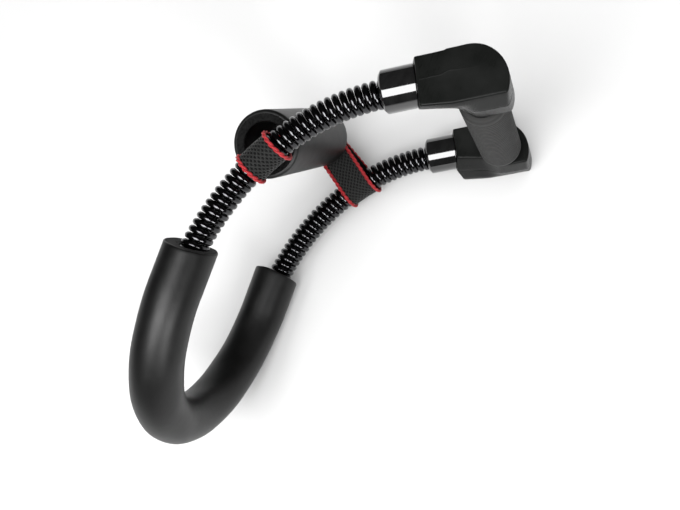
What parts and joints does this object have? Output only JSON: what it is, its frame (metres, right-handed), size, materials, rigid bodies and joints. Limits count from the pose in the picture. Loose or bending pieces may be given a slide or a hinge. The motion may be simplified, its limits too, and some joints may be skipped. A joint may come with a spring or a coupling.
{
  "type": "wrist exerciser",
  "caption": "Spring-loaded wrist and forearm exerciser: padded U frame for the forearm, parallel coil springs, cross grip between moulded ends, and a foam pad on webbing.",
  "frame": {"origin": "on the resting plane, under the centre of the bounding box", "axes": "+X from the padded U towards the handle; +Y towards the outside of the springs' bend, the side the forearm pad bulges to; +Z across the device, from the right spring up to the left one, since it lies on its side"},
  "size_m": [0.32, 0.1894, 0.205],
  "materials": {
    "foam": "matte",
    "steel": "satin",
    "spring_black": "gloss",
    "gloss_black": "gloss",
    "satin_black": "satin",
    "webbing": "matte",
    "red_braid": "matte",
    "grip_rubber": "matte"
  },
  "bodies": {
    "frame": {"u_rod": "steel", "foam_sleeve": "foam", "lower_ferrule_left": "steel", "lower_ferrule_right": "steel", "spring_left_1": "spring_black", "spring_right_1": "spring_black"},
    "spring_seg_1": {"spring_left_2": "spring_black", "spring_right_2": "spring_black"},
    "spring_seg_2": {"spring_left_3": "spring_black", "spring_right_3": "spring_black"},
    "spring_mid": {"spring_left_4": "spring_black", "spring_right_4": "spring_black"},
    "spring_seg_4": {"spring_left_5": "spring_black", "spring_right_5": "spring_black"},
    "spring_seg_5": {"spring_left_6": "spring_black", "spring_right_6": "spring_black"},
    "handle": {"spring_left_7": "spring_black", "spring_right_7": "spring_black", "handle_tube": "steel", "grip_sleeve": "grip_rubber", "neck_collar_left": "gloss_black", "spring_stud_left": "steel", "end_block_left": "steel", "tube_plug_left": "steel", "handle_bolt_left": "steel", "grip_collar_left": "satin_black", "inner_shell_left": "satin_black", "outer_shell_left": "satin_black", "neck_collar_right": "gloss_black", "spring_stud_right": "steel", "end_block_right": "steel", "tube_plug_right": "steel", "handle_bolt_right": "steel", "grip_collar_right": "satin_black", "inner_shell_right": "satin_black", "outer_shell_right": "satin_black"},
    "strap": {"webbing_loop": "webbing", "red_edge_elbow_side": "red_braid", "red_edge_hand_side": "red_braid"},
    "pad": {"forearm_pad": "foam"}
  },
  "joints": [
    {"name": "flex_1", "type": "hinge", "parent": "frame", "child": "spring_seg_1", "pos_m": [-0.02855, 0.07197, 0.1025], "axis": [0, 0, -1], "range_deg": [-9.36, 4.21], "stiffness_Nm_per_rad": 25, "deforming": ["spring_left_1", "spring_right_1", "spring_left_2", "spring_right_2"]},
    {"name": "flex_2", "type": "hinge", "parent": "spring_seg_1", "child": "spring_seg_2", "pos_m": [0.00496, 0.06642, 0.1025], "axis": [0, 0, -1], "range_deg": [-9.14, 4.12], "stiffness_Nm_per_rad": 25.66, "deforming": ["spring_left_3", "spring_right_3"]},
    {"name": "flex_3", "type": "hinge", "parent": "spring_seg_2", "child": "spring_mid", "pos_m": [0.03716, 0.05563, 0.1025], "axis": [0, 0, -1], "range_deg": [-13.73, 6.19], "stiffness_Nm_per_rad": 17.07, "deforming": ["spring_left_4", "spring_right_4"]},
    {"name": "flex_4", "type": "hinge", "parent": "spring_mid", "child": "spring_seg_4", "pos_m": [0.08429, 0.02582, 0.1025], "axis": [0, 0, -1], "range_deg": [-13.42, 6.05], "stiffness_Nm_per_rad": 17.47, "deforming": ["spring_left_5", "spring_right_5"]},
    {"name": "flex_5", "type": "hinge", "parent": "spring_seg_4", "child": "spring_seg_5", "pos_m": [0.09967, 0.01011, 0.1025], "axis": [0, 0, -1], "range_deg": [-7.82, 3.53], "stiffness_Nm_per_rad": 30.02, "deforming": ["spring_left_6", "spring_right_6"]},
    {"name": "flex_6", "type": "hinge", "parent": "spring_seg_5", "child": "handle", "pos_m": [0.11158, -0.00594, 0.1025], "axis": [0, 0, -1], "range_deg": [-8.22, 3.71], "stiffness_Nm_per_rad": 28.53, "deforming": ["spring_left_7", "spring_right_7"]},
    {"name": "pad_slide", "type": "hinge", "parent": "spring_mid", "child": "strap", "pos_m": [-0.03039, -0.10406, 0.1025], "axis": [0, 0, -1], "range_deg": [-3.2, 3.2]},
    {"name": "pad_roll", "type": "hinge", "parent": "strap", "child": "pad", "pos_m": [0.08468, 0.06488, 0.1025], "axis": [-0.2838, -0.0966, 0.954], "continuous": true}
  ],
  "couplings": [
    {"joint": "flex_2", "follows": "flex_1", "ratio": 0.97414},
    {"joint": "flex_3", "follows": "flex_1", "ratio": 1.4647},
    {"joint": "flex_4", "follows": "flex_1", "ratio": 1.4311},
    {"joint": "flex_5", "follows": "flex_1", "ratio": 0.83275},
    {"joint": "flex_6", "follows": "flex_1", "ratio": 0.87627}
  ]
}
